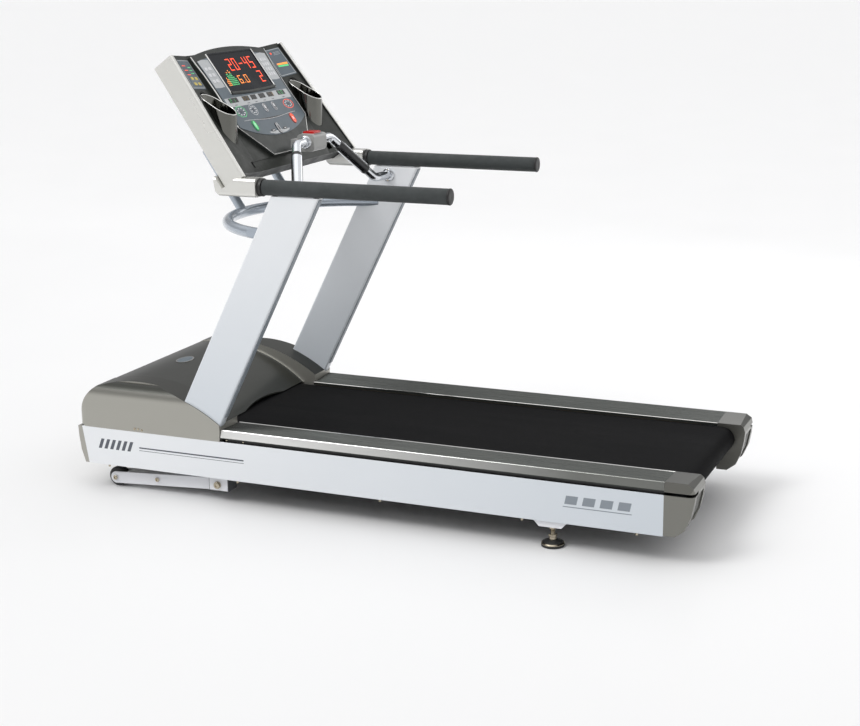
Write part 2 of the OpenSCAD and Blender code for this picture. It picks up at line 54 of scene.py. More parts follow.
class Mat:
    """A Principled material with a small node tree built by method calls."""

    def __init__(self, name, base, rough=0.5, metal=0.0, coat=0.0, coat_rough=0.1, spec=0.5, ior=1.45,
                 sheen=0.0, sheen_rough=0.4):
        self.key = name
        self.m = bpy.data.materials.new(name)
        self.m.use_nodes = True
        self.nt = self.m.node_tree
        self.b = self.nt.nodes["Principled BSDF"]
        self.b.inputs["Base Color"].default_value = (*base, 1)
        self.b.inputs["Roughness"].default_value = rough
        self.b.inputs["Metallic"].default_value = metal
        self.b.inputs["Coat Weight"].default_value = coat
        self.b.inputs["Coat Roughness"].default_value = coat_rough
        self.b.inputs["Specular IOR Level"].default_value = spec
        self.b.inputs["IOR"].default_value = ior
        self.b.inputs["Sheen Weight"].default_value = sheen
        self.b.inputs["Sheen Roughness"].default_value = sheen_rough
        self.m.diffuse_color = (*base, 1)
        self.base = base
        self.height = None

    def n(self, kind, **values):
        node = self.nt.nodes.new(kind)
        for k, v in values.items():
            setattr(node, k, v)
        return node

    def link(self, a, b):
        self.nt.links.new(a, b)

    def coords(self, scale=(1, 1, 1), rot=(0, 0, 0), loc=(0, 0, 0)):
        tc = self.n("ShaderNodeTexCoord")
        mp = self.n("ShaderNodeMapping")
        mp.inputs["Scale"].default_value = scale
        mp.inputs["Rotation"].default_value = rot
        mp.inputs["Location"].default_value = loc
        self.link(tc.outputs["Object"], mp.inputs["Vector"])
        return mp.outputs["Vector"]

    def noise(self, scale, detail=4.0, rough=0.55, stretch=(1, 1, 1), rot=(0, 0, 0)):
        t = self.n("ShaderNodeTexNoise")
        t.inputs["Scale"].default_value = scale
        t.inputs["Detail"].default_value = detail
        t.inputs["Roughness"].default_value = rough
        self.link(self.coords(stretch, rot), t.inputs["Vector"])
        return t.outputs["Fac"]

    def voronoi(self, scale, stretch=(1, 1, 1), feature="F1"):
        t = self.n("ShaderNodeTexVoronoi")
        t.feature = feature
        t.inputs["Scale"].default_value = scale
        self.link(self.coords(stretch), t.inputs["Vector"])
        return t.outputs["Distance"]

    def wave(self, scale, axis="X", profile="SIN", distort=0.0, rot=(0, 0, 0)):
        t = self.n("ShaderNodeTexWave")
        t.bands_direction = axis
        t.wave_profile = profile
        t.inputs["Scale"].default_value = scale
        t.inputs["Distortion"].default_value = distort
        self.link(self.coords((1, 1, 1), rot), t.inputs["Vector"])
        return t.outputs["Fac"]

    def ramp(self, fac, lo, hi, p0=0.35, p1=0.65):
        r = self.n("ShaderNodeMapRange")
        r.inputs["From Min"].default_value = p0
        r.inputs["From Max"].default_value = p1
        r.inputs["To Min"].default_value = lo
        r.inputs["To Max"].default_value = hi
        r.clamp = True
        self.link(fac, r.inputs["Value"])
        return r.outputs["Result"]

    def mixcol(self, fac, a, b):
        x = self.n("ShaderNodeMix", data_type="RGBA")
        x.inputs["A"].default_value = (*a, 1) if isinstance(a, tuple) else (1, 1, 1, 1)
        x.inputs["B"].default_value = (*b, 1) if isinstance(b, tuple) else (1, 1, 1, 1)
        if not isinstance(a, tuple):
            self.link(a, x.inputs["A"])
        if not isinstance(b, tuple):
            self.link(b, x.inputs["B"])
        self.link(fac, x.inputs["Factor"])
        return x.outputs["Result"]

    def colour(self, out):
        self.link(out, self.b.inputs["Base Color"])
        return self

    def vary(self, amount, scale=6.0, stretch=(1, 1, 1)):
        """Slight tone change over the surface."""
        f = self.noise(scale, 3.0, 0.6, stretch)
        a = tuple(max(0.0, c * (1 - amount)) for c in self.base)
        b = tuple(min(1.0, c * (1 + amount)) for c in self.base)
        out = self.mixcol(self.ramp(f, 0, 1, 0.3, 0.7), a, b)
        self.colour(out)
        return self

    def rough_var(self, lo, hi, scale=30.0, stretch=(1, 1, 1), detail=5.0):
        f = self.noise(scale, detail, 0.6, stretch)
        self.link(self.ramp(f, lo, hi, 0.3, 0.7), self.b.inputs["Roughness"])
        return self

    def bump(self, fac, dist, strength=1.0):
        """Adds one bump layer on top of those already there."""
        bp = self.n("ShaderNodeBump")
        bp.inputs["Strength"].default_value = strength
        bp.inputs["Distance"].default_value = dist
        self.link(fac, bp.inputs["Height"])
        if self.height is not None:
            self.link(self.height, bp.inputs["Normal"])
        self.link(bp.outputs["Normal"], self.b.inputs["Normal"])
        self.height = bp.outputs["Normal"]
        return self

    def glow(self, col, strength):
        self.b.inputs["Emission Color"].default_value = (*col, 1)
        self.b.inputs["Emission Strength"].default_value = strength
        return self


def brushed(name, base, rough, along, metal=1.0, amount=0.08, depth=0.00012):
    """Metal with fine streaks along one axis: 0 X, 1 Y, 2 Z."""
    s = [600.0, 600.0, 600.0]
    s[along] = 6.0
    k = Mat(name, base, rough, metal)
    f = k.noise(1.0, 5.0, 0.6, tuple(s))
    k.link(k.ramp(f, rough * 0.75, rough * 1.35, 0.3, 0.7), k.b.inputs["Roughness"])
    a = tuple(c * (1 - amount) for c in base)
    b = tuple(min(1.0, c * (1 + amount)) for c in base)
    k.colour(k.mixcol(k.ramp(f, 0, 1, 0.3, 0.7), a, b))
    k.bump(f, depth, 0.35)
    return k


def paint(name, base, rough=0.35, coat=0.25, orange=0.00010, vary=0.02, metal=0.0, coat_rough=0.12):
    """Sprayed metal: slight tone change, fine orange peel, handling marks in the gloss."""
    k = Mat(name, base, rough, metal, coat, coat_rough)
    k.vary(vary, 3.0)
    k.rough_var(rough * 0.85, rough * 1.2, 14.0)
    k.bump(k.noise(420.0, 2.0, 0.5), orange * 0.4, 0.2)
    return k


def moulded(name, base, rough=0.45, grain=900.0, depth=0.00018, vary=0.05, coat=0.0, metal=0.0, spec=0.5):
    """Injection-moulded plastic with a fine leather-like grain and worn, smoother patches."""
    k = Mat(name, base, rough, metal, coat, 0.15, spec)
    k.vary(vary, 8.0)
    k.rough_var(rough * 0.8, rough * 1.25, 25.0)
    k.bump(k.voronoi(grain), depth, 0.5)
    k.bump(k.noise(60.0, 3.0, 0.5), depth * 0.4, 0.1)
    return k


def metallic(name, base, rough=0.38, metal=0.55, coat=0.35, flake=1400.0):
    """Metallic lacquer: fine flakes in tone and roughness under a thin clear coat."""
    k = Mat(name, base, rough, metal, coat, 0.18)
    f = k.noise(flake, 1.0, 0.5)
    a = tuple(c * 0.985 for c in base)
    b = tuple(min(1.0, c * 1.015) for c in base)
    k.flakes = k.mixcol(k.ramp(f, 0, 1, 0.3, 0.7), a, b)
    k.colour(k.flakes)
    k.rough_var(rough * 0.97, rough * 1.05, 4.0)
    return k


def painted_top_shade(k, top, lo, hi):
    """Painted shade: faces that look up are mixed towards a darker colour by the height of their normal."""
    g = k.n("ShaderNodeNewGeometry")
    sep = k.n("ShaderNodeSeparateXYZ")
    k.link(g.outputs["Normal"], sep.inputs[0])
    k.colour(k.mixcol(k.ramp(sep.outputs["Z"], 0, 1, lo, hi), k.flakes, top))
    return k


MATS = {}


def add(k):
    MATS[k.key] = k.m
    return k


add(paint("frame_steel", (0.10, 0.105, 0.11), 0.45))
# Painted light: side panels are lighter at the front and shade to grey-blue towards the rear; uprights are lighter at
# the top and shade to grey-blue towards the bottom
for name, axis, lo, hi in (("panel_silver", "X", -0.9, 1.0), ("upright_silver", "Z", 1.05, 0.2)):
    k = add(paint(name, (0.80, 0.82, 0.85), 0.33, 0.32))
    sep = k.n("ShaderNodeSeparateXYZ")
    k.link(k.coords(), sep.inputs[0])
    lit_end_tone = k.mixcol(k.ramp(k.noise(3.0, 3.0, 0.6), 0, 1, 0.3, 0.7), (0.80, 0.82, 0.84), (0.83, 0.845, 0.865))
    k.colour(k.mixcol(k.ramp(sep.outputs[axis], 0, 1, lo, hi), lit_end_tone, (0.60, 0.645, 0.69)))
add(paint("bracket_white", (0.78, 0.79, 0.82), 0.35))
add(paint("lift_white", (0.78, 0.79, 0.82), 0.35))
add(paint("brace_silver", (0.42, 0.47, 0.53), 0.22, 0.6, metal=0.55))
add(paint("tube_steel", (0.12, 0.12, 0.13), 0.4))
add(brushed("rail_anodised", (0.050, 0.054, 0.050), 0.38, 0, 0.7))
# Painted reflection on the polished bevel: near-white at the front of the rail, fading to dark towards the back
k = add(brushed("rail_bevel_painted_reflection", (0.92, 0.92, 0.90), 0.18, 0, 0.45))
sep = k.n("ShaderNodeSeparateXYZ")
k.link(k.coords(), sep.inputs[0])
k.colour(k.mixcol(k.ramp(sep.outputs["X"], 0, 1, -0.35, 0.75), (0.95, 0.95, 0.93), (0.22, 0.225, 0.21)))
add(brushed("rail_ridge", (0.085, 0.09, 0.083), 0.30, 0, 0.8))
# Rear caps and hood covers: the upward faces carry painted shade
add(painted_top_shade(metallic("cap_pewter", (0.20, 0.198, 0.178), 0.30, 0.8, 0.3), (0.085, 0.085, 0.075), 0.3, 0.85))
HOOD_TOP_SHADE = (0.045, 0.046, 0.040)
add(painted_top_shade(metallic("hood_pewter", (0.40, 0.392, 0.355), 0.42, 0.7, 0.12), HOOD_TOP_SHADE, 0.02, 0.62))
add(metallic("fascia_pewter", (0.40, 0.39, 0.355), 0.32, 0.75, 0.4))
add(metallic("hood_dark", (0.040, 0.042, 0.036), 0.34, 0.6, 0.10))
add(moulded("insert_dark", (0.10, 0.10, 0.09), 0.45))
k = add(Mat("trim_chrome", (0.86, 0.855, 0.83), 0.09, 1.0))
k.rough_var(0.06, 0.14, 40.0, (0.2, 1, 1))
k.vary(0.03, 5.0)
k = add(Mat("deck_wood", (0.42, 0.30, 0.18), 0.5, 0, 0.1))
f = k.noise(1.0, 6.0, 0.6, (3, 90, 90))
k.colour(k.mixcol(k.ramp(f, 0, 1, 0.3, 0.7), (0.30, 0.20, 0.115), (0.50, 0.37, 0.23)))
k.bump(f, 0.0003, 0.4)
add(moulded("cushion_rubber", (0.035, 0.035, 0.035), 0.8, 500.0))
k = add(Mat("belt_rubber", (0.006, 0.006, 0.0065), 0.62, 0, 0, spec=0.05))
wv = k.wave(520.0, "DIAGONAL")
wv2 = k.wave(520.0, "DIAGONAL", rot=(0, 0, math.pi / 2))
mul = k.n("ShaderNodeMath", operation="MULTIPLY")
k.link(wv, mul.inputs[0])
k.link(wv2, mul.inputs[1])
k.bump(mul.outputs[0], 0.0003, 0.55)
f = k.noise(3.0, 5.0, 0.65, (0.35, 2.0, 1))
k.colour(k.mixcol(k.ramp(f, 0, 1, 0.35, 0.75), (0.004, 0.004, 0.0045), (0.008, 0.008, 0.0085)))
k.link(k.ramp(f, 0.55, 0.70, 0.3, 0.7), k.b.inputs["Roughness"])
add(paint("motor_paint", (0.05, 0.05, 0.055), 0.4))
add(brushed("shaft_steel", (0.56, 0.56, 0.57), 0.28, 1))
add(brushed("heatsink_metal", (0.50, 0.51, 0.52), 0.35, 1))
add(moulded("inlet_plastic", (0.02, 0.02, 0.02), 0.42))
add(moulded("switch_red", (0.50, 0.03, 0.02), 0.3, coat=0.3))
add(moulded("breaker_white", (0.72, 0.72, 0.70), 0.3, coat=0.3))
add(moulded("drive_rubber", (0.02, 0.02, 0.02), 0.7, 400.0))
add(brushed("roller_steel", (0.52, 0.52, 0.54), 0.25, 1))
add(moulded("upright_strip", (0.24, 0.27, 0.30), 0.4))
k = add(Mat("grip_foam", (0.040, 0.046, 0.046), 0.62, sheen=0.12, sheen_rough=0.5))
k.vary(0.16, 14.0, (0.5, 1, 1))
k.bump(k.voronoi(1500.0), 0.0005, 0.7)
k.bump(k.noise(90.0, 4.0, 0.6), 0.0006, 0.5)
k.rough_var(0.62, 0.85, 40.0)
add(moulded("end_plastic", (0.018, 0.018, 0.018), 0.4))
add(metallic("console_pearl", (0.74, 0.735, 0.70), 0.27, 0.5, 0.5))
add(moulded("console_dark", (0.026, 0.029, 0.025), 0.40, 700.0, 0.0002, spec=0.3))
add(moulded("back_dark", (0.030, 0.033, 0.032), 0.5, 500.0, 0.0003, spec=0.3))
add(moulded("pod_dark", (0.036, 0.040, 0.037), 0.36, 900.0, 0.0001, spec=0.3))
k = add(Mat("overlay_blue", (0.125, 0.155, 0.18), 0.36, 0.0, 0.0, 0.2, 0.3))
k.vary(0.06, 12.0)
k.rough_var(0.28, 0.40, 60.0)
k.bump(k.noise(800.0, 2.0, 0.5), 0.00006, 0.4)
k = add(Mat("display_gloss", (0.006, 0.008, 0.012), 0.12, 0, 0, 0.03, 0.22))
k.vary(0.3, 5.0)
k.rough_var(0.06, 0.16, 12.0)
k = add(Mat("cup_chrome", (0.17, 0.17, 0.155), 0.10, 1.0, 0.0, 0.06))
k.rough_var(0.07, 0.14, 30.0, (1, 1, 0.3))
k.vary(0.10, 9.0)
add(moulded("board_green", (0.02, 0.14, 0.06), 0.35, coat=0.4))
add(brushed("bar_silver", (0.70, 0.72, 0.75), 0.15, 1, amount=0.04))
add(moulded("grip_black", (0.022, 0.022, 0.023), 0.3, 500.0, 0.0002, coat=0.35))
add(moulded("housing_grey", (0.36, 0.36, 0.35), 0.38, 700.0, 0.00012, coat=0.15))
add(moulded("stop_red", (0.62, 0.015, 0.012), 0.25, 900.0, 0.00006, coat=0.5))
add(moulded("foot_rubber", (0.025, 0.025, 0.025), 0.55, 400.0))
add(brushed("screw_steel", (0.46, 0.41, 0.32), 0.22, 1))
add(moulded("wheel_rubber", (0.03, 0.03, 0.032), 0.5, 400.0))
add(moulded("key_green", (0.06, 0.42, 0.17), 0.25, coat=0.5))
add(moulded("key_red", (0.62, 0.09, 0.05), 0.25, coat=0.5))
add(moulded("key_white", (0.72, 0.73, 0.75), 0.28, coat=0.4))
add(moulded("key_black", (0.03, 0.03, 0.035), 0.28, coat=0.4))
add(moulded("ink_dark", (0.10, 0.11, 0.13), 0.4))
add(moulded("strip_light", (0.50, 0.52, 0.53), 0.35, coat=0.2))
add(moulded("line_white", (0.75, 0.76, 0.77), 0.35))
add(moulded("line_yellow", (0.70, 0.55, 0.12), 0.35))
add(moulded("groove_black", (0.012, 0.012, 0.013), 0.3))
# Glowing materials: light of the LED digits; on the printed cluster rings, wing prints and key plates they give a
# painted glow
add(moulded("green_glow_led_and_print", (0.10, 0.55, 0.20), 0.3)).glow((0.15, 0.9, 0.3), 0.35)
add(moulded("red_glow_led_and_print", (0.70, 0.05, 0.02), 0.3)).glow((1.0, 0.08, 0.02), 1.1)
add(moulded("orange_glow_led_and_print", (0.75, 0.25, 0.04), 0.3)).glow((1.0, 0.30, 0.05), 0.9)
add(moulded("led_amber", (0.30, 0.19, 0.05), 0.3)).glow((0.9, 0.5, 0.1), 0.12)

# CAD nodes keep their shape and take the material of their slot
SLOT_OF = {s["node"]: s["material_slot"] for s in frame["record"]["subparts"]}
for node, o in NODES.items():
    o.data.materials.clear()
    o.data.materials.append(MATS[SLOT_OF[node]])

# ---------------------------------------------------------------- mesh helpers
PIECES = {}


def CON(s, y, n):
    """Console face: s down the slope, n out of it, in millimetres."""
    a = math.radians(54)
    return Vector((-0.697 + (s * math.cos(a) + n * math.sin(a)) / 1000, y / 1000,
                   1.541 + (-s * math.sin(a) + n * math.cos(a)) / 1000))


def mm(x, y, z):
    return Vector((x / 1000, y / 1000, z / 1000))


def finish_mesh(name, bm, mat, body="frame", smooth=30.0, bevel=0.0, segments=2):
    bmesh.ops.remove_doubles(bm, verts=bm.verts, dist=1e-6)
    bmesh.ops.recalc_face_normals(bm, faces=bm.faces)
    me = bpy.data.meshes.new(name)
    bm.to_mesh(me)
    bm.free()
    for m in (mat if isinstance(mat, list) else [mat]):
        me.materials.append(MATS[m])
    o = bpy.data.objects.new(name, me)
    bpy.context.scene.collection.objects.link(o)
    for p in me.polygons:
        p.use_smooth = True
    me.set_sharp_from_angle(angle=math.radians(smooth))
    if bevel:
        b = o.modifiers.new("edge", "BEVEL")
        b.width = bevel
        b.segments = segments
        b.limit_method = "ANGLE"
        b.angle_limit = math.radians(30)
        b.harden_normals = True
    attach(o, body)
    PIECES[name] = o
    return o


def add_prism(bm, pts, place, lo, hi, mi=0, dome=0.0):
    """A closed prism from 2-D points; place maps (u, v, w) in mm to metres. dome raises its middle."""
    a = [bm.verts.new(place(u, v, lo)) for u, v in pts]
    b = [bm.verts.new(place(u, v, hi)) for u, v in pts]
    n = len(pts)
    faces = [bm.faces.new(list(reversed(a)))]
    if dome:
        cu, cv = sum(p[0] for p in pts) / n, sum(p[1] for p in pts) / n
        ring = b
        for k, lift in ((0.8, 0.55), (0.45, 0.9)):
            nxt = [bm.verts.new(place(cu + (u - cu) * k, cv + (v - cv) * k, hi + dome * lift)) for u, v in pts]
            for i in range(n):
                faces.append(bm.faces.new((ring[i], ring[(i + 1) % n], nxt[(i + 1) % n], nxt[i])))
            ring = nxt
        top = bm.verts.new(place(cu, cv, hi + dome))
        for i in range(n):
            faces.append(bm.faces.new((ring[i], ring[(i + 1) % n], top)))
    else:
        faces.append(bm.faces.new(b))
    for i in range(n):
        faces.append(bm.faces.new((a[i], a[(i + 1) % n], b[(i + 1) % n], b[i])))
    for f in faces:
        f.material_index = mi


def ring_pts(c, ru, rv, count, power=2.0, turn=0.0):
    """Superellipse outline round c."""
    out = []
    for i in range(count):
        a = 2 * math.pi * i / count + turn
        ca, sa = math.cos(a), math.sin(a)
        out.append((c[0] + ru * math.copysign(abs(ca) ** (2 / power), ca),
                    c[1] + rv * math.copysign(abs(sa) ** (2 / power), sa)))
    return out


def rect_pts(c, w, h, r, per=4):
    """Rounded rectangle, w along u and h along v."""
    out = []
    for cx, cy, a0 in ((w / 2 - r, h / 2 - r, 0), (-w / 2 + r, h / 2 - r, 90), (-w / 2 + r, -h / 2 + r, 180),
                       (w / 2 - r, -h / 2 + r, 270)):
        for i in range(per + 1):
            a = math.radians(a0 + 90 * i / per)
            out.append((c[0] + cx + r * math.cos(a), c[1] + cy + r * math.sin(a)))
    return out


def add_band(bm, outer, inner, place, lo, hi, mi=0):
    """A flat closed ring between two outlines with the same point count."""
    n = len(outer)
    v = [[bm.verts.new(place(p[0], p[1], w)) for p in line] for line, w in
         ((outer, lo), (outer, hi), (inner, hi), (inner, lo))]
    for k in range(4):
        a, b = v[k], v[(k + 1) % 4]
        for i in range(n):
            f = bm.faces.new((a[i], a[(i + 1) % n], b[(i + 1) % n], b[i]))
            f.material_index = mi


def sweep(bm, path, radius, sides=16, mi=0, closed_ends=True, squash=None):
    """A tube along 3-D points; radius is a number or one per point."""
    n = len(path)
    rings = []
    up = Vector((0, 0, 1))
    for i, p in enumerate(path):
        d = (path[min(i + 1, n - 1)] - path[max(i - 1, 0)]).normalized()
        side = d.cross(up)
        if side.length < 1e-3:
            side = d.cross(Vector((1, 0, 0)))
        side.normalize()
        top = side.cross(d).normalized()
        r = radius[i] if isinstance(radius, (list, tuple)) else radius
        ring = []
        for k in range(sides):
            a = 2 * math.pi * k / sides
            rr = r * (squash(a) if squash else 1.0)
            ring.append(bm.verts.new(p + side * (rr * math.cos(a)) + top * (rr * math.sin(a))))
        rings.append(ring)
    for i in range(n - 1):
        for k in range(sides):
            m = (k + 1) % sides
            f = bm.faces.new((rings[i][k], rings[i][m], rings[i + 1][m], rings[i + 1][k]))
            f.material_index = mi
    if closed_ends:
        for ring in (rings[0], rings[-1]):
            f = bm.faces.new(ring)
            f.material_index = mi


def lathe(bm, origin, axis, profile, sides=40, mi=0):
    """A turned solid: profile is (distance along axis, radius) in mm, closed by its end discs."""
    axis = Vector(axis).normalized()
    u = axis.cross(Vector((0, 0, 1)))
    if u.length < 1e-3:
        u = axis.cross(Vector((1, 0, 0)))
    u.normalize()
    v = axis.cross(u)
    rings = []
    for t, r in profile:
        c = origin + axis * (t / 1000)
        if r <= 0:
            rings.append([bm.verts.new(c)])
        else:
            rings.append([bm.verts.new(c + (u * math.cos(2 * math.pi * k / sides) + v * math.sin(2 * math.pi * k / sides))
                                       * (r / 1000)) for k in range(sides)])
    for a, b in zip(rings, rings[1:]):
        for k in range(sides):
            q = [a[k % len(a)], a[(k + 1) % len(a)], b[(k + 1) % len(b)], b[k % len(b)]]
            q = [x for i, x in enumerate(q) if x not in q[:i]]
            if len(q) >= 3:
                f = bm.faces.new(q)
                f.material_index = mi
    for ring in (rings[0], rings[-1]):
        if len(ring) > 1:
            f = bm.faces.new(ring)
            f.material_index = mi


def new():
    return bmesh.new()

# ---------------------------------------------------------------- console face
def con_piece(name, jobs, mat, body="frame", bevel=0.0, smooth=30.0):
    """Several flat prisms on the console face: jobs are (outline, low, high, material index, dome)."""
    bm = new()
    for pts, lo, hi, mi, dome in jobs:
        add_prism(bm, pts, CON, lo, hi, mi, dome)
    return finish_mesh(name, bm, mat, body, smooth, bevel)


def side_poly(sign, pts):
    return [(s, sign * y) for s, y in pts]


T = -6.5
jobs = []
for sg in (-1, 1):
    jobs.append((side_poly(sg, [(36, 168), (33, 205), (38, 238), (92, 233), (148, 231), (150, 200), (148, 168)]), T,
                 T + 0.35, 0, 0))
con_piece("overlay_strips", jobs, "strip_light")

jobs = []
for i in range(3):
    for j in range(2):
        jobs.append((rect_pts((72 + 25 * i, -214 + 23 * j), 13, 17, 4), T, T + 1.3, 0, 0.4))
for i in range(4):
    for j in range(3):
        jobs.append((rect_pts((62 + 21 * i, 181 + 16 * j), 13, 10.5, 3), T, T + 1.3, 0, 0.4))
con_piece("membrane_keys", jobs, "key_white", smooth=60)

jobs = [(rect_pts((211, 0), 36, 452, 4), T, T + 0.3, 0, 0)]
for y, w in ((-173, 74), (-86, 56), (-31, 46), (29, 52), (90, 52), (171, 66)):
    jobs.append((rect_pts((204, y), 19, w * 0.82, 2), T, T + 0.6, 1, 0))
con_piece("status_row", jobs, ["strip_light", "groove_black"])

SEGS = {"0": "abcdef", "1": "bc", "2": "abged", "3": "abgcd", "4": "fgbc", "5": "afgcd", "6": "afgedc", "7": "abc",
        "8": "abcdefg", "9": "abcdfg", "-": "g"}


def digit(jobs, ch, s, y, h, w, t, mi, level, slant=0.0):
    """A seven-segment digit, top at s, left at y."""
    half = h / 2
    boxes = {"a": (0, 0, t, w), "g": (half - t / 2, 0, t, w), "d": (h - t, 0, t, w), "f": (0, 0, half, t),
             "b": (0, w - t, half, t), "e": (half, 0, half, t), "c": (half, w - t, half, t)}
    for seg in SEGS[ch]:
        ds, dy, hs, wy = boxes[seg]
        k = 0.7
        pts = [(s + ds + k, y + dy + k), (s + ds + k, y + dy + wy - k), (s + ds + hs - k, y + dy + wy - k),
               (s + ds + hs - k, y + dy + k)]
        pts = [(a, b + slant * (s + h - a)) for a, b in pts]
        jobs.append((pts, level, level + 0.35, mi, 0))


jobs = []
for y, text, mi in ((-196, "21", 1), (-104, "05", 2), (78, "13", 2), (152, "30", 1)):
    for i, ch in enumerate(text):
        digit(jobs, ch, 197, y + 22 * i, 14, 11, 2.2, mi - 1, T + 0.6)
con_piece("status_digits", jobs, ["green_glow_led_and_print", "led_amber"])

# Main screen: a raised clock, profile bars and a level digit, all generic
L = -5.5
jobs = []
for i, ch in enumerate("20-45"):
    digit(jobs, ch, 42, -62 + 38 * i, 50, 26, 5.5, 0, L)
digit(jobs, "2", 104, 96, 48, 27, 5.5, 0, L)
for i, ch in enumerate("6"):
    digit(jobs, ch, 112, -52, 34, 22, 4.5, 1, L)
digit(jobs, "0", 112, -8, 34, 22, 4.5, 1, L)
jobs.append((rect_pts((143, -20), 4, 4, 1), L, L + 0.35, 1, 0))
prof = (3, 5, 4, 7, 8, 6, 9, 8, 5, 4)
for i, n in enumerate(prof):
    for j in range(n):
        mi = 1 if (i < 3 or j > 6) else 2
        jobs.append((rect_pts((146 - 7.2 * j, -134 + 7.4 * i), 4.4, 4.6, 0.8, 1), L, L + 0.3, mi, 0))
con_piece("screen_digits", jobs, ["red_glow_led_and_print", "orange_glow_led_and_print", "green_glow_led_and_print"])

# Frame of the screen: bright side bars and a dark rounded lip below
bm = new()
for y in (-159, 159):
    add_prism(bm, rect_pts((97, y), 168, 5, 2.4), CON, -8, -4.2, 0, 0.8)
finish_mesh("screen_bars", bm, "trim_chrome", smooth=50)
bm = new()
path = [CON(176 + 4.5 * (1 - (t / 156.0) ** 2), t, -6.0) for t in range(-156, 157, 12)]
sweep(bm, path, 0.0062, 14)
finish_mesh("screen_lip", bm, "pod_dark", smooth=60)
bm = new()
path = [CON(13.5, t, -6.2) for t in range(-156, 157, 26)]
sweep(bm, path, 0.0022, 8)
finish_mesh("screen_top_seal", bm, "groove_black", smooth=60)

# Function clusters: printed rings with small key marks
jobs_ring = [((251, -170), 23, 34, 8, 0), ((252, -85), 22, 24, 24, 1), ((253, 173), 19, 34, 24, 2)]
bm = new()
for c, ru, rv, cnt, mi in jobs_ring:
    turn = math.pi / 8 if cnt == 8 else 0
    add_band(bm, ring_pts(c, ru, rv, cnt, 2.0, turn), ring_pts(c, ru - 1.6, rv - 1.8, cnt, 2.0, turn),
             CON, T, T + 0.4, mi)
# The green and red printed rings glow: painted light
finish_mesh("cluster_rings", bm, ["green_glow_led_and_print", "line_white", "red_glow_led_and_print"])
jobs = []
for c, ru, rv, cnt, mi in jobs_ring:
    for i in range(8):
        a = 2 * math.pi * i / 8 + 0.3
        p = (c[0] + ru * 0.58 * math.cos(a), c[1] + rv * 0.62 * math.sin(a))
        jobs.append((ring_pts(p, 2.6, 4.2, 10), T, T + 0.7, 0, 0.2))
    jobs.append((ring_pts(c, 4.2, 6.4, 14), T, T + 0.8, 1, 0.3))
con_piece("cluster_keys", jobs, ["key_white", "ink_dark"], smooth=60)

# Thin printed marks under the status windows
jobs = []
for y in (-173, -86, -31, 29, 90, 171):
    jobs.append((rect_pts((223, y), 2.4, 17, 1, 2), T + 0.3, T + 0.55, 0, 0))
con_piece("status_marks", jobs, "ink_dark")

# Lens-shaped groove below the keys, and the tray round the cursor key
top = [(288 - 1 + 4.0 * math.cos(math.pi * (t - 2) / 390), t) for t in range(-193, 198, 13)]
low = [(288 + 9.5 * math.cos(math.pi * (t - 2) / 390) ** 2.2 + 0.4, t) for t in range(197, -194, -13)]
bm = new()
add_prism(bm, top + low, CON, T - 0.1, T + 0.35, 0)
finish_mesh("lens_groove", bm, "groove_black")
bm = new()
path = [CON(287.2 + 9.5 * math.cos(math.pi * (t - 2) / 390) ** 2.2, t, T + 0.2)
        for t in range(-190, 194, 12)]
sweep(bm, path, 0.0009, 8)
finish_mesh("lens_edge", bm, "line_white", smooth=60)
jobs = [([(346, -75), (346, 75), (352, 66), (357, 40), (359, 0), (357, -40), (352, -66)], T, T + 0.3, 0, 0)]
for y in (-43, 43):
    jobs.append((rect_pts((343, y), 9, 26, 2), T, T + 1.0, 1, 0.3))
    jobs.append((rect_pts((343, y), 2.2, 12, 1, 2), T + 1.0, T + 1.5, 2, 0))
con_piece("cursor_tray", jobs, ["strip_light", "key_black", "line_white"], smooth=60)

# Rings and marks that ride on the moving keys
K = -4.5


def key_face(name, body, s, y, ru, rv, ring, mark, mark_pts, plate=None):
    bm = new()
    if plate:
        add_prism(bm, ring_pts((s, y), ru - 2.3, rv - 2.3, 36), CON, K - 0.1, K + 0.2, 2)
    add_band(bm, ring_pts((s, y), ru, rv, 36), ring_pts((s, y), ru - 2.4, rv - 2.4, 36), CON,
             K - 0.1, K + 0.7, 0)
    for pts in mark_pts:
        add_prism(bm, pts, CON, K - 0.1, K + 0.5, 1)
    finish_mesh(name, bm, [ring, mark] + ([plate] if plate else []), body, 60)


# The green and red key plates glow: painted light
key_face("start_key_face", "key_start", 312, -139, 20.5, 12.8, "key_black", "line_white",
         [[(304, -143), (304, -135), (320, -139)]], "green_glow_led_and_print")
key_face("stop_key_face", "key_stop", 312, 139, 20.5, 12.8, "key_black", "line_white",
         [rect_pts((312, 139), 11, 9, 1)], "red_glow_led_and_print")
key_face("quick_key_a_face", "key_quick_a", 252, 0, 15.6, 8.8, "key_black", "ink_dark",
         [rect_pts((257, 0), 2, 9, 0.9, 2)])
key_face("quick_key_b_face", "key_quick_b", 252, 66, 15.6, 8.8, "key_black", "ink_dark",
         [rect_pts((257, 66), 2, 9, 0.9, 2), rect_pts((257, 66), 9, 2, 0.9, 2)])
key_face("nav_key_face", "key_nav", 338, 0, 20.5, 9.8, "line_white", "line_white",
         [[(323, 0), (329, -4), (329, 4)], [(353, 0), (347, 4), (347, -4)]])

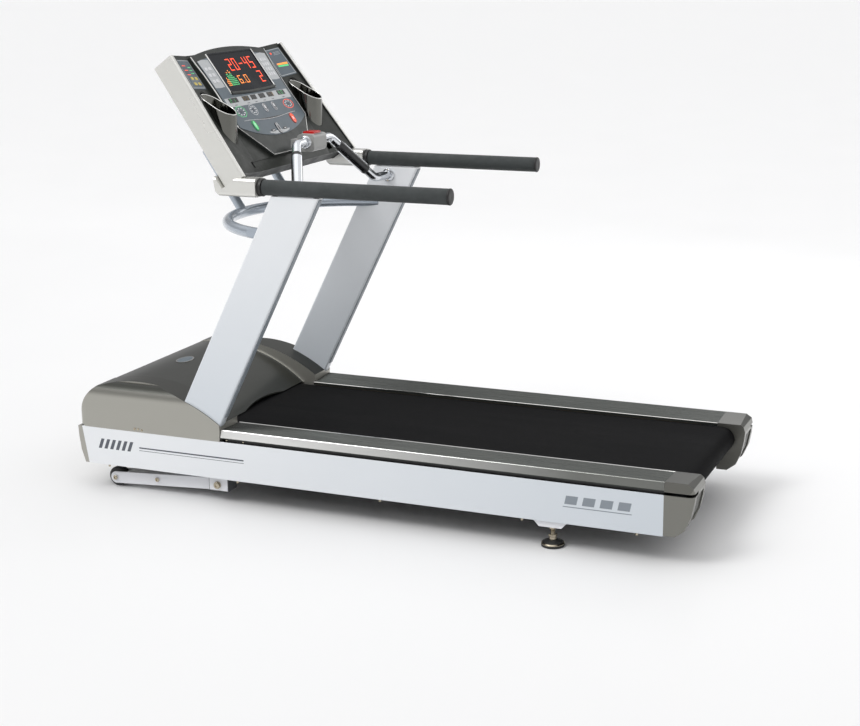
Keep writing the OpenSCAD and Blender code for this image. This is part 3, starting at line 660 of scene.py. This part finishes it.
# Bright edge down the left of the pod, a thin light line down its right
for sg, name, rad, mat in ((-1, "pod_edge_left", 0.0032, "trim_chrome"),
                           (1, "pod_edge_right", 0.0014, "line_white")):
    ctrl = [(17, 259), (50, 256), (90, 249), (130, 246.5), (170, 245.5), (220, 246.5), (270, 248.5),
            (306, 249.5)]
    bm = new()
    sweep(bm, [CON(a, sg * b, -8.6) for a, b in ctrl], rad, 12)
    finish_mesh(name, bm, mat, smooth=60)
bm = new()
for sg in (-1, 1):
    ctrl = [(306, 248.8), (340, 216), (380, 178), (428, 134.5)]
    sweep(bm, [CON(a, sg * b, -9.2) for a, b in ctrl], 0.0017, 10)
sweep(bm, [CON(430.3, t, -9.2) for t in range(-134, 135, 67)], 0.0017, 10)
finish_mesh("pod_chin_edge", bm, "trim_chrome", smooth=60)

# Printed wing panels, on the tilted faces beside the pod
CA, SA = math.cos(math.radians(8.2)), math.sin(math.radians(8.2))


def WING(sg):
    def place(s, y, n):
        return CON(s, sg * (272 + y * CA - n * SA), -18.5 + y * SA + n * CA)
    return place


W = 1.15
bm = new()
for sg in (-1, 1):
    outer = [(24, 2), (24, 88), (136, 97.6), (136, 2)]
    inner = [(26, 4), (26, 86), (134, 95), (134, 4)]
    add_band(bm, outer, inner, WING(sg), W, W + 0.3, 0)
finish_mesh("wing_frames", bm, "strip_light")
bm = new()
wl, wr = WING(-1), WING(1)
for i in range(7):
    add_prism(bm, rect_pts((46 + 6 * i, 62), 2.4, 26, 1, 2), wl, W, W + 0.3, 0 if i % 3 else 1)
    add_prism(bm, rect_pts((46 + 6 * i, 26), 2.4, 24, 1, 2), wl, W, W + 0.3, 2 if i % 2 else 0)
for i in range(2):
    for j in range(2):
        add_prism(bm, rect_pts((97 + 22 * i, 26 + 32 * j), 11, 19, 1.5), wl, W, W + 0.9, 3)
for i in range(3):
    add_prism(bm, rect_pts((104 + 7 * i, 44), 1.2, 60, 0.5, 1), wl, W, W + 0.25, 4)
add_prism(bm, ring_pts((40, 24), 4, 4, 16), wr, W, W + 0.5, 1)
for i in range(3):
    add_prism(bm, rect_pts((38 + 5 * i, 58), 1.2, 40, 0.5, 1), wr, W, W + 0.3, 4)
add_prism(bm, [(84, 20), (90, 20), (94, 84), (86, 84)], wr, W, W + 0.35, 5)
add_prism(bm, [(92, 20), (99, 22), (103, 82), (96, 84)], wr, W, W + 0.35, 2)
# The red, green and orange printed marks glow: painted light
finish_mesh("wing_prints", bm,
            ["ink_dark", "red_glow_led_and_print", "green_glow_led_and_print", "line_yellow", "strip_light", "orange_glow_led_and_print"])

# Ribbed seam between the pale side covers and the dark face
bm = new()
for sg in (-1, 1):
    for i in range(118):
        s = 12 + 4 * i
        y = sg * (374.9 + (s - 8) * 0.0837)
        add_prism(bm, [(s, y - sg * 3.2), (s + 2.9, y - sg * 3.0), (s + 2.9, y + sg * 1.0), (s, y + sg * 0.8)],
                  CON, -6.0, 4.0, 0)
finish_mesh("seam_ribs", bm, "back_dark", smooth=20)
bm = new()
for sg in (-1, 1):
    pts = [(10, sg * 371.2), (484, sg * 410.9), (484, sg * 415.2), (10, sg * 375.4)]
    add_prism(bm, pts, CON, -8, 2.9, 0)
finish_mesh("seam_band", bm, "end_plastic", smooth=20)

# ---------------------------------------------------------------- hand bar, grips and stop switch
BA, BB, BE = Vector((-0.276, 0.306, 1.058)), Vector((-0.368, 0.128, 1.224)), Vector((-0.256, 0.3853, 1.059))


def flip(v):
    return Vector((v.x, -v.y, v.z))


def rounded_path(pts, radius, steps=10):
    """Polyline with its inner corners rounded."""
    out = [pts[0]]
    for a, b, c in zip(pts, pts[1:], pts[2:]):
        u, v = (a - b).normalized(), (c - b).normalized()
        corner = math.acos(max(-1, min(1, u.dot(v))))
        t = min(radius / math.tan(corner / 2), (a - b).length * 0.45, (c - b).length * 0.45)
        p, q = b + u * t, b + v * t
        for i in range(steps + 1):
            k = i / steps
            out.append(p * (1 - k) ** 2 + b * (2 * k * (1 - k)) + q * k ** 2)
    out.append(pts[-1])
    return out


bm = new()
sweep(bm, rounded_path([flip(BE), flip(BA), flip(BB), BB, BA, BE], 0.045), 0.0160, 28)
for sg in (-1, 1):
    lathe(bm, Vector((-0.256, sg * 0.3852, 1.059)), (0, -sg, 0),
          [(0, 24), (1.2, 24), (6.2, 24), (7.4, 22.6), (7.6, 16.4)], 40)
bar = finish_mesh("hand_bar", bm, "bar_silver", smooth=50)
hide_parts("pulse_bar")

bm = new()
for sg in (-1, 1):
    a, b = (BA, BB) if sg > 0 else (flip(BA), flip(BB))
    d = b - a
    p0, p1 = a + d * 0.20, a + d * 0.82
    n = 26
    path = [p0 + (p1 - p0) * (i / n) for i in range(n + 1)]
    rad = [0.0193 - 0.0012 * (max(0, 1 - i / 1.5) + max(0, 1 - (n - i) / 1.5)) + (0.0004 if i % 2 else 0)
           for i in range(n + 1)]
    sweep(bm, path, rad, 28)
grip = finish_mesh("hand_grips", bm, "grip_black", smooth=60)
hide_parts("pulse_grips")

# Polished contact plates let into the grips, front and back
bm = new()
for sg in (-1, 1):
    a, b = (BA, BB) if sg > 0 else (flip(BA), flip(BB))
    d = (b - a).normalized()
    side = d.cross(Vector((0, 0, 1))).normalized()
    top = side.cross(d).normalized()
    length = (b - a).length
    for centre in (math.radians(84), math.radians(264)):
        rows = []
        for i in range(9):
            t = 0.26 + 0.50 * i / 8
            c = a + d * (length * t)
            rows.append([[c + (side * math.cos(w) + top * math.sin(w)) * r for w in
                          [centre + math.radians(-54 + 108 * k / 10) for k in range(11)]] for r in (0.0190, 0.02005)])
        grid = [[[bm.verts.new(q) for q in layer] for layer in row] for row in rows]
        for i in range(8):
            for k in range(10):
                bm.faces.new((grid[i][1][k], grid[i][1][k + 1], grid[i + 1][1][k + 1], grid[i + 1][1][k]))
                bm.faces.new((grid[i][0][k], grid[i + 1][0][k], grid[i + 1][0][k + 1], grid[i][0][k + 1]))
            for k in (0, 10):
                bm.faces.new((grid[i][0][k], grid[i][1][k], grid[i + 1][1][k], grid[i + 1][0][k]))
        for i in (0, 8):
            for k in range(10):
                bm.faces.new((grid[i][0][k], grid[i][0][k + 1], grid[i][1][k + 1], grid[i][1][k]))
finish_mesh("contact_plates", bm, "bar_silver", smooth=40)

bm = new()
for sg in (-1, 1):
    lathe(bm, Vector((-0.368, sg * 0.0575, 1.224)), (0, sg, 0), [(0, 21), (1, 22.4), (4, 22.4), (5, 21.4), (9, 21.4),
                                                                (10.5, 19.5), (10.6, 16.3)], 40)
finish_mesh("bar_collars", bm, "bar_silver", smooth=40)
bm = new()
add_prism(bm, rect_pts((-373, 0), 37, 47, 5, 6), mm, 1256.4, 1257.6, 0, 1.1)
finish_mesh("stop_cap", bm, "stop_red", "stop", 60)
bm = new()
add_band(bm, rect_pts((-373, 0), 54, 62, 8, 6), rect_pts((-373, 0), 46.4, 56.4, 5, 6), mm, 1249.2, 1251.0)
finish_mesh("stop_rim", bm, "housing_grey", smooth=40, bevel=0.0006)

# ---------------------------------------------------------------- handrail sleeves
bm = new()
for sg in (-1, 1):
    prof = [(0, 24.4), (1.2, 25.6), (3, 26), (652, 26), (654, 25.6), (655, 24.4)]
    n = 48
    rings = []
    for t, r in prof:
        ring = []
        for k in range(n):
            a = 2 * math.pi * k / n
            ring.append(bm.verts.new((-0.343 + t / 1000, sg * 0.412 + r / 1000 * math.cos(a),
                                      1.116 + r / 1000 * math.sin(a))))
        rings.append(ring)
    for a, b in zip(rings, rings[1:]):
        for k in range(n):
            bm.faces.new((a[k], a[(k + 1) % n], b[(k + 1) % n], b[k]))
    bm.faces.new(rings[0])
    bm.faces.new(rings[-1])
foam = finish_mesh("foam_sleeves", bm, "grip_foam", smooth=50)
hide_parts("foam_grips")
bm = new()
for sg in (-1, 1):
    lathe(bm, Vector((0.3120, sg * 0.412, 1.116)), (1, 0, 0), [(0.2, 26.3), (1.4, 26.9), (4.5, 26.9), (6.6, 25.2), (7.4, 22),
                                                            (7.6, 10), (7.0, 3), (7.0, 0)], 48)
    lathe(bm, Vector((-0.3592, sg * 0.412, 1.116)), (1, 0, 0), [(0, 27), (0.8, 30), (4.2, 30), (5, 28.6), (10, 28.6),
                                                             (10.8, 30), (15, 30), (15.9, 27.5)], 48)
trim = finish_mesh("rail_collars", bm, "end_plastic", smooth=40)
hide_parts("handrail_trim")

# ---------------------------------------------------------------- foot rails: ribbed tread, polished outer bevel with a painted reflection
ribs = []
y0, z0, y1, z1 = 296.0, 262.35, 414.0, 267.75
n = 15
for i in range(n):
    f0, f1 = i / n, (i + 0.62) / n
    for f, dz in ((f0, 0), (f0 + 0.10 / n, 0.9), (f1 - 0.10 / n, 0.9), (f1, 0)):
        ribs.append((y0 + (y1 - y0) * f, z0 + (z1 - z0) * f - 1.0 + dz))
outer = [(417.5, 267.9), (419.4, 267.6), (420.3, 266.4), (427.6, 242), (428.4, 239), (400, 239), (400, 242),
         (424, 242), (416, 262.5), (292, 256.8), (292, 250.5)]
section = [(288, 250.5), (288, 261.0), (289.2, 262.0)] + ribs + outer
for sg, side in ((-1, "left"), (1, "right")):
    bm = new()
    lo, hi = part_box(side + "_foot_rail")
    xs = [lo.x * 1000, hi.x * 1000]
    cols = [[bm.verts.new((x / 1000, sg * p[0] / 1000, p[1] / 1000)) for p in section] for x in xs]
    m = len(section)
    for k in range(m):
        f = bm.faces.new((cols[0][k], cols[0][(k + 1) % m], cols[1][(k + 1) % m], cols[1][k]))
        a, b = section[k], section[(k + 1) % m]
        bevel = a[0] >= 417 and b[0] >= 417 and min(a[1], b[1]) > 238.5 and a[1] != b[1]
        if bevel and not (a[1] == 242 or b[1] == 262.5):
            f.material_index = 1
        elif a[0] <= 296.1 and b[0] <= 296.1 and min(a[1], b[1]) > 250 and a[1] > 256.9 and b[1] > 256.9:
            f.material_index = 2
        elif abs(a[1] - b[1]) < 0.9 and a[1] > 262 and (k - 3) % 4 == 1 and 3 <= k < 3 + len(ribs):
            f.material_index = 3
    for col in cols:
        bm.faces.new(col)
    rail = finish_mesh(side + "_rail_tread", bm, ["rail_anodised", "rail_bevel_painted_reflection", "trim_chrome", "rail_ridge"],
                       smooth=20)
    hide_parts(side + "_foot_rail")

# ---------------------------------------------------------------- side graphics: plain bars only
def NEAR(sg):
    def place(x, z, w):
        return Vector((x / 1000, sg * (430 + w) / 1000, z / 1000))
    return place


bm = new()
for sg in (-1, 1):
    for i in range(6):
        x = -1040 + 24 * i
        add_prism(bm, [(x, 152), (x + 13, 152), (x + 27, 188), (x + 14, 188)], NEAR(sg), -0.02, 0.12)
    add_prism(bm, rect_pts((-660, 170), 420, 5, 2.4, 4), NEAR(sg), -0.02, 0.12)
    add_prism(bm, rect_pts((-660, 160), 420, 1.8, 0.8, 3), NEAR(sg), -0.02, 0.12)
finish_mesh("side_stripes", bm, "ink_dark")
bm = new()
for sg in (-1, 1):
    for k, (w, x) in enumerate(((46, 724), (46, 782), (46, 840), (46, 898))):
        add_prism(bm, [(x - 20, 160), (x + 20, 160), (x + 26, 188), (x - 14, 188)], NEAR(sg), -0.02, 0.12)
    add_prism(bm, rect_pts((812, 151), 226, 3, 1.4, 3), NEAR(sg), -0.02, 0.12)
finish_mesh("rear_blocks", bm, "upright_strip")

# Thin folded edge along the top of each side panel
bm = new()
for sg in (-1, 1):
    sweep(bm, [mm(x, sg * 428.2, 226.2) for x in (-1104, -600, 0, 500, 1024)], 0.0017, 10)
finish_mesh("panel_folds", bm, "panel_silver", smooth=60)

# Dark channel between rail and panel
bm = new()
for sg in (-1, 1):
    add_prism(bm, [(-520, 418), (1022, 418), (1022, 419.2), (-520, 419.2)],
              lambda x, y, z, s=sg: mm(x, s * y, z), 227, 238.6)
finish_mesh("rail_channel", bm, "end_plastic")

# ---------------------------------------------------------------- plain oval badge on the hood
def HOOD(u, v, w):
    """u across the machine, v back along the hood's crown, w out of it."""
    x = -947.1 + v
    h = -159.5 + math.sqrt((543.2 + w) ** 2 - v * v)
    return Vector((x / 1000, u / 1000, h / 1000))


bm = new()
base = ring_pts((0, 16), 46, 25, 40)
add_prism(bm, base, HOOD, -0.3, 1.2, 0, 0.9)
add_band(bm, ring_pts((0, 16), 48, 27, 40), ring_pts((0, 16), 43.5, 22.5, 40), HOOD, 0.6, 2.2, 1)
finish_mesh("hood_badge", bm, ["overlay_blue", "trim_chrome"], smooth=50)

# ---------------------------------------------------------------- bolts and feet
def bolt(bm, origin, axis, r, h, recess=0.5, mi=0):
    lathe(bm, origin, axis, [(0, r * 0.96), (h * 0.15, r), (h * 0.7, r), (h, r * 0.82), (h, r * recess),
                             (h * 0.45, r * recess * 0.94),
                             (h * 0.45, 0)], 28, mi)


bm = new()
for sg in (-1, 1):
    bolt(bm, mm(-999, sg * 396, 35), (0, sg, 0), 8.5, 4.2)
    bolt(bm, mm(-824, sg * 395.4, 47), (0, sg, 0), 8.0, 4.6)
finish_mesh("arm_bolts", bm, "screw_steel", "lift", 40)
bm = new()
for sg in (-1, 1):
    bolt(bm, mm(-573, sg * 408.9, 60), (0, sg, 0), 11.5, 4.5)
    for x, z in ((-520, 232.3), (-455, 232.3)):
        bolt(bm, mm(x, sg * 419.2, z), (0, sg, 0), 3.4, 1.6)
    bolt(bm, mm(-884, sg * 429.9, 238), (0, sg, 0), 5.0, 1.8)
    bolt(bm, mm(-855, sg * 429.9, 236), (0, sg, 0), 4.0, 1.5)
finish_mesh("frame_bolts", bm, "screw_steel", smooth=40)

PAD_PROFILE = [(0, 36.8), (0.8, 38), (8, 38), (9.5, 36.6), (14, 32), (18, 25), (20.4, 17), (21, 15), (21, 9)]
for sg, side in ((-1, "left"), (1, "right")):
    c = mm(654, sg * 390, 0)
    bm = new()
    lathe(bm, c, (0, 0, 1), PAD_PROFILE, 56)
    pad = finish_mesh(side + "_foot_pad_rubber", bm, "foot_rubber", "foot_" + side, 40)
    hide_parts(side + "_foot")
    bm = new()
    lathe(bm, c, (0, 0, 1), [(20.8, 8), (20.8, 12), (25, 12.6), (31, 11.6), (31, 8)], 40)
    prof = [(31, 7.0)]
    for i in range(36):
        prof += [(31.5 + 2 * i, 8.0), (32.5 + 2 * i, 7.2)]
    prof.append((107, 7.2))
    lathe(bm, c, (0, 0, 1), prof, 32)
    lathe(bm, c, (0, 0, 1), [(31, 8.2), (31, 13.4), (32, 14.2), (37.6, 14.2), (39, 13.2), (39, 8.2)], 6)
    lathe(bm, c, (0, 0, 1), [(8.6, 34), (8.6, 38.3), (10.0, 38.3), (13.4, 34.6), (13.4, 31)], 56)
    finish_mesh(side + "_foot_stem", bm, "screw_steel", "foot_" + side, 35)

# Wheel tyres with a shallow tread, and pressed hubs
for sg, side in ((-1, "left"), (1, "right")):
    bm = new()
    prof = [(-17, 10), (-17, 26), (-16, 31), (-13.5, 34), (-12.5, 35)]
    for i in range(5):
        z = -10 + 5 * i
        prof += [(z - 1.6, 35), (z - 1.0, 33.8), (z + 1.0, 33.8), (z + 1.6, 35)]
    prof += [(12.5, 35), (13.5, 34), (16, 31), (17, 26), (17, 10)]
    lathe(bm, mm(-999, sg * 367, 35), (0, 1, 0), prof, 56)
    tyre = finish_mesh(side + "_tyre", bm, "wheel_rubber", "wheel_" + side, 35)
    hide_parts(side + "_wheel")
    bm = new()
    lathe(bm, mm(-999, sg * 367, 35), (0, 1, 0), [(-18, 7), (-18, 12), (-17.4, 20), (17.4, 20), (18, 12), (18, 7)], 40)
    finish_mesh(side + "_hub", bm, "upright_strip", "wheel_" + side, 35)

# Soft edges on the large CAD parts
for node, w in (("left_side_panel", 0.0008), ("right_side_panel", 0.0008), ("left_upright", 0.0010),
                ("right_upright", 0.0010), ("console_pod", 0.0022), ("console_slab", 0.0012), ("cup_holders", 0.0010),
                ("console_sides", 0.0016), ("console_back", 0.0012), ("stop_housing", 0.0018), ("left_rear_cap", 0.0014),
                ("right_rear_cap", 0.0014), ("cap_inserts", 0.0008), ("display_window", 0.0006),
                ("left_hood_cover", 0.0012), ("right_hood_cover", 0.0012), ("motor_hood", 0.0010),
                ("belly_pan", 0.0010), ("lift_frame", 0.0010), ("foot_brackets", 0.0008), ("start_key", 0.0005),
                ("stop_key", 0.0005), ("quick_key_a", 0.0005), ("quick_key_b", 0.0005), ("nav_key", 0.0005)):
    b = NODES[node].modifiers.new("edge", "BEVEL")
    b.width = w
    b.segments = 2
    b.limit_method = "ANGLE"
    b.angle_limit = math.radians(35)
    b.harden_normals = True

# White covers on the lift pivot brackets
bm = new()
for sg in (-1, 1):
    add_prism(bm, [(-606, 40), (-534, 40), (-534, 110), (-606, 110)],
              lambda x, z, w, sg=sg: Vector((x / 1000, sg * (402 + w) / 1000, z / 1000)), 0.05, 0.6, 0)
finish_mesh("pivot_brackets", bm, "lift_white")

# Bright rolled rims on the cups
bm = new()
for sg in (-1, 1):
    loop = []
    for i in range(25):
        a = math.radians(-90 + 180 * i / 24)
        loop.append((-541 + 44.5 * math.cos(a), 318 + 44.5 * math.sin(a)))
    for i in range(25):
        a = math.radians(90 + 180 * i / 24)
        loop.append((-580 + 38.5 * math.cos(a), 318 + 38.5 * math.sin(a)))
    rim = [Vector((x / 1000, sg * y / 1000, (1446.4 - (x + 700) * 116 / 220) / 1000)) for x, y in loop]
    sweep(bm, rim + [rim[0].lerp(rim[-1], 0.02)], 0.0019, 10)
finish_mesh("cup_rims", bm, "trim_chrome", smooth=60)

# ---------------------------------------------------------------- floor, light, camera
floor_m = Mat("floor_pale", (0.88, 0.88, 0.88), 0.30, spec=0.12)
# Painted light: the floor is darker towards the camera and brighter towards the back
sep = floor_m.n("ShaderNodeSeparateXYZ")
floor_m.link(floor_m.coords(), sep.inputs[0])
depth = floor_m.ramp(sep.outputs["Y"], 0, 1, -3.0, 4.5)
floor_m.colour(floor_m.mixcol(depth, (0.80, 0.80, 0.80), (0.99, 0.99, 0.99)))
floor_m.bump(floor_m.noise(3.0, 2.0, 0.5), 0.0002, 0.1)
floor_m.rough_var(0.38, 0.46, 1.5)
bm = new()
R = 300.0
bm.faces.new([bm.verts.new((x * R, y * R, -0.0004)) for x, y in ((-1, -1), (1, -1), (1, 1), (-1, 1))])
me = bpy.data.meshes.new("floor")
bm.to_mesh(me)
bm.free()
me.materials.append(floor_m.m)
floor = bpy.data.objects.new("floor", me)
bpy.context.scene.collection.objects.link(floor)

world = bpy.data.worlds.new("studio")
bpy.context.scene.world = world
world.use_nodes = True
wt = world.node_tree
wt.nodes.clear()
wo = wt.nodes.new("ShaderNodeOutputWorld")
bg = wt.nodes.new("ShaderNodeBackground")
tc = wt.nodes.new("ShaderNodeTexCoord")
sep = wt.nodes.new("ShaderNodeSeparateXYZ")
rmp = wt.nodes.new("ShaderNodeValToRGB")
wt.links.new(tc.outputs["Generated"], sep.inputs[0])
wt.links.new(sep.outputs["Z"], rmp.inputs["Fac"])
wt.links.new(rmp.outputs["Color"], bg.inputs["Color"])
wt.links.new(bg.outputs[0], wo.inputs[0])
cr = rmp.color_ramp
cr.elements[0].position = 0.0
cr.elements[0].color = (1.0, 1.0, 1.0, 1)
cr.elements[1].position = 1.0
cr.elements[1].color = (1.0, 1.0, 1.0, 1)
for pos, v in ((0.10, 0.95), (0.17, 0.30), (0.33, 0.38), (0.55, 1.0), (0.8, 1.15)):
    e = cr.elements.new(pos)
    e.color = (v, v, v * 1.01, 1)
bg.inputs["Strength"].default_value = 0.86


def area(name, loc, target, size, power, colour=(1, 1, 1)):
    d = bpy.data.lights.new(name, "AREA")
    d.shape = "RECTANGLE"
    d.size, d.size_y = size
    d.energy = power
    d.color = colour
    o = bpy.data.objects.new(name, d)
    o.location = loc
    o.rotation_mode = "QUATERNION"
    o.rotation_quaternion = (Vector(target) - Vector(loc)).to_track_quat("-Z", "Y")
    bpy.context.scene.collection.objects.link(o)
    return o


area("key_left", (-2.6, -3.4, 3.6), (-0.2, 0, 0.4), (2.4, 1.6), 22)
area("top_soft", (-0.3, -0.4, 4.2), (0, 0, 0.3), (4.0, 2.2), 14)
area("rim_back", (1.2, 4.0, 2.6), (-0.2, 0, 0.8), (3.0, 1.4), 18)
s = bpy.data.lights.new("sun_soft", "SUN")
s.energy = 0.9
s.angle = math.radians(24)
so = bpy.data.objects.new("sun_soft", s)
so.rotation_mode = "QUATERNION"
so.rotation_quaternion = Vector((0.55, 0.62, -1.0)).to_track_quat("-Z", "Y")
bpy.context.scene.collection.objects.link(so)

cam_d = bpy.data.cameras.new("camera")
cam = bpy.data.objects.new("camera", cam_d)
bpy.context.scene.collection.objects.link(cam)
yaw, pitch, roll = (math.radians(a) for a in (22.963224662934767, -13.612569275653764, -0.6194606487354115))
fwd = Vector((-math.sin(yaw) * math.cos(pitch), math.cos(yaw) * math.cos(pitch), math.sin(pitch)))
right = Vector((math.cos(yaw), math.sin(yaw), 0))
up = right.cross(fwd)
r2 = right * math.cos(roll) + up * math.sin(roll)
u2 = -right * math.sin(roll) + up * math.cos(roll)
cam.matrix_world = Matrix(((r2.x, u2.x, -fwd.x, 2.2201163518), (r2.y, u2.y, -fwd.y, -5.0830721889),
                           (r2.z, u2.z, -fwd.z, 1.8677230206), (0, 0, 0, 1)))
cam_d.sensor_width = 36.0
cam_d.lens = 1625.1656348085962 / 860 * 36
cam_d.shift_x = (430 - 429.8597) / 860
cam_d.shift_y = -(363 - 343.2725) / 860
cam_d.clip_start = 0.05
cam_d.clip_end = 600.0
bpy.context.scene.camera = cam
bpy.context.scene.view_settings.view_transform = "Standard"
bpy.context.scene.view_settings.look = "None"
